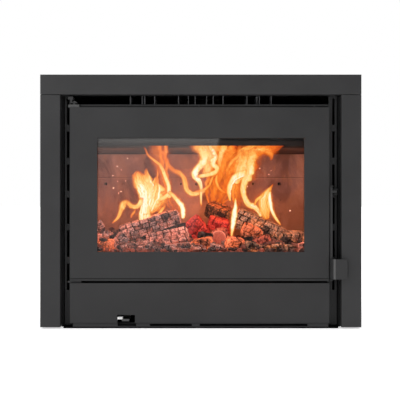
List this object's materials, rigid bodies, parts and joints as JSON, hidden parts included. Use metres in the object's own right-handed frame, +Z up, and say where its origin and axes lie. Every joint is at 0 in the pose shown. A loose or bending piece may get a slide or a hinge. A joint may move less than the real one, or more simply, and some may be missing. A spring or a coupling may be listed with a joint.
{
  "type": "wood-burning fireplace insert",
  "caption": "Built-in steel wood-burning fireplace: a lined firebox in a casing with a three-sided surround, a glazed side-hung door with a tab-handled latch bar, and a sliding air lever.",
  "frame": {"origin": "middle of the underside of the whole fireplace, on the surface it stands on", "axes": "+Z up, -Y out of the front through the glass, +X to the right as seen from the front"},
  "size_m": [0.804, 0.412, 0.636],
  "materials": {
    "painted_steel": "matt charcoal heat-proof paint",
    "dark_steel": "matt black heat-proof paint",
    "body_steel": "matt dark grey heat-proof paint",
    "bright_steel": "plain zinc-bright steel",
    "cast_iron": "as cast, blackened",
    "fire_board": "pressed mineral board, lit by the fire",
    "seal_rope": "braided glass-fibre rope",
    "door_glass": "clear ceramic glass",
    "charred_wood": "charred and cracked, glowing in the cracks",
    "glowing_wood": "burning through, red hot",
    "embers": "lumps of charcoal with ash and red embers",
    "flame": "glowing flame"
  },
  "bodies": {
    "cassette": {"surround_top": "painted_steel", "surround_left": "painted_steel", "surround_right": "painted_steel", "surround_splice_left": "dark_steel", "surround_splice_right": "dark_steel", "casing_flange": "dark_steel", "casing_base": "dark_steel", "casing_left": "dark_steel", "casing_right": "dark_steel", "casing_back": "dark_steel", "casing_top": "dark_steel", "front_plate": "body_steel", "header_lip": "painted_steel", "lower_panel": "painted_steel", "bottom_strip": "painted_steel", "firebox_left": "body_steel", "firebox_right": "body_steel", "firebox_back": "body_steel", "firebox_top": "body_steel", "firebox_floor": "body_steel", "lining_left": "fire_board", "lining_right": "fire_board", "lining_back_lower": "fire_board", "lining_back_upper": "fire_board", "lining_floor": "fire_board", "grate": "cast_iron", "ash_pan": "body_steel", "baffle": "fire_board", "air_wash_deflector": "body_steel", "flue_collar": "cast_iron", "warm_air_channels": "body_steel", "air_box": "body_steel", "hinge_bracket_upper": "body_steel", "hinge_bracket_lower": "body_steel", "hinge_pin_upper": "bright_steel", "hinge_pin_lower": "bright_steel", "latch_keeper": "body_steel", "log_left_upper": "charred_wood", "log_left_lower": "charred_wood", "log_centre": "charred_wood", "log_right": "charred_wood", "log_far_right": "charred_wood", "log_round": "charred_wood", "log_glowing": "glowing_wood", "ember_bed": "embers"},
    "door": {"door_front": "painted_steel", "door_back_frame": "body_steel", "door_glass": "door_glass", "glass_seal": "seal_rope", "door_seal": "seal_rope", "glass_retainer_top": "body_steel", "glass_retainer_bottom": "body_steel", "hinge_leaf_upper": "bright_steel", "hinge_leaf_lower": "body_steel", "latch_lug_upper": "body_steel", "latch_lug_lower": "body_steel"},
    "handle": {"latch_bar": "painted_steel", "handle_tab": "painted_steel"},
    "air_control": {"air_shutter": "body_steel", "air_knob": "bright_steel"}
  },
  "joints": [
    {"name": "door_hinge", "type": "hinge", "parent": "cassette", "child": "door", "pos_m": [-0.318, -0.177, 0.33], "axis": [0, 0, -1], "range_deg": [0, 110]},
    {"name": "handle_turn", "type": "hinge", "parent": "door", "child": "handle", "pos_m": [0.3267, -0.189, 0.24], "axis": [0, 0, -1], "range_deg": [0, 40]},
    {"name": "air_slide", "type": "slide", "parent": "cassette", "child": "air_control", "axis": [1, 0, 0], "range_m": [0, 0.028]}
  ]
}
